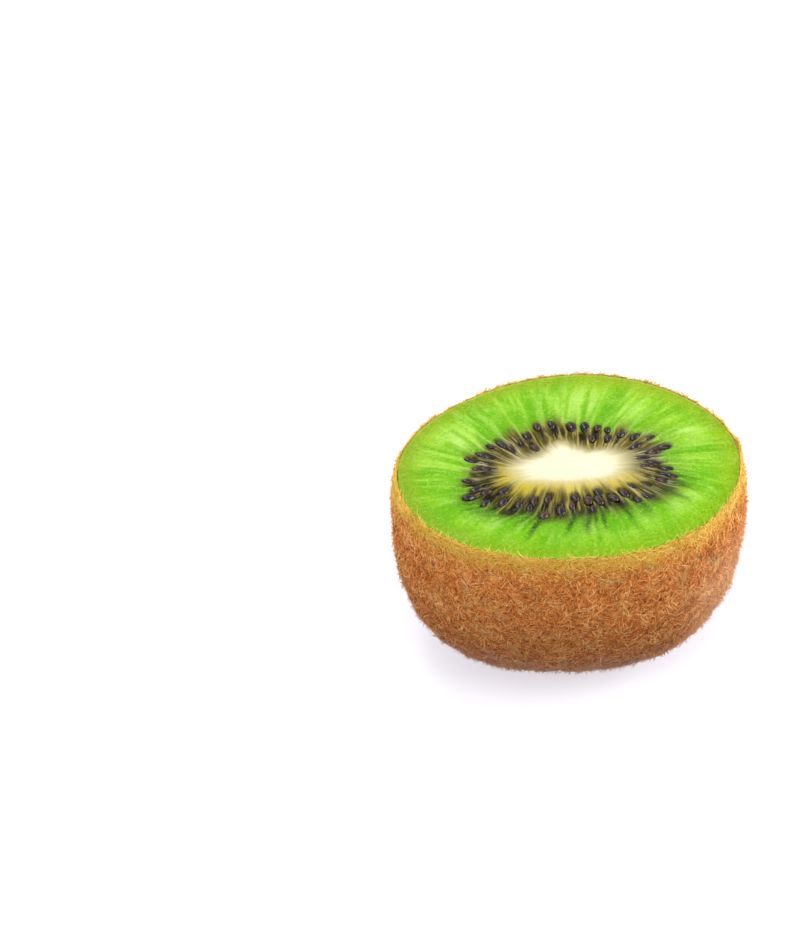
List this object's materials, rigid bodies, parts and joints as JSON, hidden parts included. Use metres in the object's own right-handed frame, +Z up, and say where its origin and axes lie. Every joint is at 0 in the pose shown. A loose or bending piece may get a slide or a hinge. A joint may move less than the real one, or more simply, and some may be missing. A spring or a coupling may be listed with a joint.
{
  "type": "kiwi fruit half",
  "caption": "Half of a brown fuzzy-skinned kiwi fruit, cut across, with green flesh, a pale oval core and a ring of dark seeds.",
  "frame": {"origin": "on the surface the half rests on, under the middle of its bounding box", "axes": "+Z up, out of the level cut face; +X along the wider diameter of the cut face; +Y along the narrower diameter, away from the viewer of the picture"},
  "size_m": [0.0562, 0.0498, 0.0316],
  "materials": {
    "flesh": "moist translucent fruit flesh, satin to glossy",
    "core": "pale moist pith, satin",
    "skin": "thin brown rind, matte",
    "fuzz": "short stiff brown hairs, matte",
    "seed": "wet dark seed, glossy"
  },
  "bodies": {
    "root": {"kiwi_half": "flesh"}
  },
  "joints": []
}
